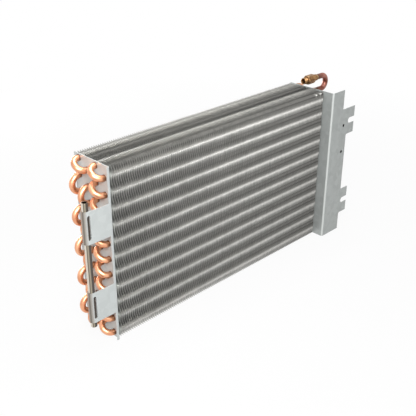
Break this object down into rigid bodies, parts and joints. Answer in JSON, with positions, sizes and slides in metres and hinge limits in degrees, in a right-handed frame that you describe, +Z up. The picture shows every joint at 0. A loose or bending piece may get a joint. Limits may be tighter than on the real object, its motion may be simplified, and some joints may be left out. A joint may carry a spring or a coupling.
{
  "type": "air conditioning condenser",
  "caption": "Finned condenser coil: staggered copper tubes with U-turns through a tall fin stack, folded sheet end plates with hooks and tabs, brass inlet fitting.",
  "frame": {"origin": "on the plane that the end plates stand on, at the middle of the overall length and depth", "axes": "+X along the tubes from the end with the hairpin turns to the end with the inlet and the outlet, -Y is the front with the flanges, +Z up"},
  "size_m": [0.59, 0.0972, 0.3078],
  "materials": {
    "copper": "drawn copper tube, bare, lightly heat tinted at the joints",
    "brass": "turned brass",
    "fin_aluminium": "thin stamped aluminium, satin",
    "galvanized_sheet": "galvanized sheet, satin",
    "tube_steel": "bare steel tube, smooth"
  },
  "bodies": {
    "root": {"fin_stack": "fin_aluminium", "hairpin_b10_a10": "copper", "hairpin_b11_a11": "copper", "hairpin_b1_a1": "copper", "hairpin_b2_a2": "copper", "hairpin_b3_a3": "copper", "hairpin_b4_a4": "copper", "hairpin_b5_a5": "copper", "hairpin_b6_a6": "copper", "hairpin_b7_a7": "copper", "hairpin_b8_a8": "copper", "hairpin_b9_a9": "copper", "hairpin_c11_c10": "copper", "hairpin_c1_d1": "copper", "hairpin_c3_c2": "copper", "hairpin_c5_c4": "copper", "hairpin_c7_c6": "copper", "hairpin_c9_c8": "copper", "hairpin_d10_d11": "copper", "hairpin_d2_d3": "copper", "hairpin_d4_d5": "copper", "hairpin_d6_d7": "copper", "hairpin_d8_d9": "copper", "inlet_fitting": "brass", "inlet_pipe": "copper", "left_end_plate": "galvanized_sheet", "outlet_fitting": "brass", "outlet_pipe": "copper", "pivot_tube": "tube_steel", "return_bend_a10_b11": "copper", "return_bend_a11_c11": "copper", "return_bend_a1_b2": "copper", "return_bend_a2_b3": "copper", "return_bend_a3_b4": "copper", "return_bend_a4_b5": "copper", "return_bend_a5_b6": "copper", "return_bend_a6_b7": "copper", "return_bend_a7_b8": "copper", "return_bend_a8_b9": "copper", "return_bend_a9_b10": "copper", "return_bend_c10_c9": "copper", "return_bend_c2_c1": "copper", "return_bend_c4_c3": "copper", "return_bend_c6_c5": "copper", "return_bend_c8_c7": "copper", "return_bend_d1_d2": "copper", "return_bend_d3_d4": "copper", "return_bend_d5_d6": "copper", "return_bend_d7_d8": "copper", "return_bend_d9_d10": "copper", "right_end_plate": "galvanized_sheet"}
  },
  "joints": []
}
